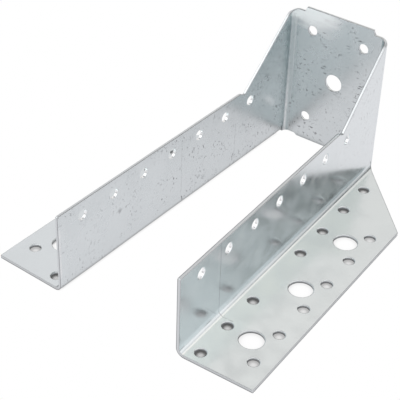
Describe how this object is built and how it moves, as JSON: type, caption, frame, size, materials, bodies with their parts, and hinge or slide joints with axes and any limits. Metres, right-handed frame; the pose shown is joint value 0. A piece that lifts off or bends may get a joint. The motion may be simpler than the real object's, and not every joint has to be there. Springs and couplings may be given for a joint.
{
  "type": "joist hanger",
  "caption": "Joist hanger folded from one steel sheet: a deep seat plate, two long side walls that taper to the seat, and outward flanges punched for nails and bolts.",
  "frame": {"origin": "middle of the seat's bearing face, level with the flanges' back faces, where the joist's lower arris meets the header", "axes": "+Z away from the header, along the joist; +Y from the joist into the seat, which is down when it hangs; X across the joist, x = 0 the middle plane"},
  "size_m": [0.137, 0.1694, 0.074],
  "materials": {
    "galvanised_steel": "hot-dip galvanised sheet, satin, with soft spangle and small dark specks"
  },
  "bodies": {
    "root": {"joist_hanger": "galvanised_steel"}
  },
  "joints": []
}
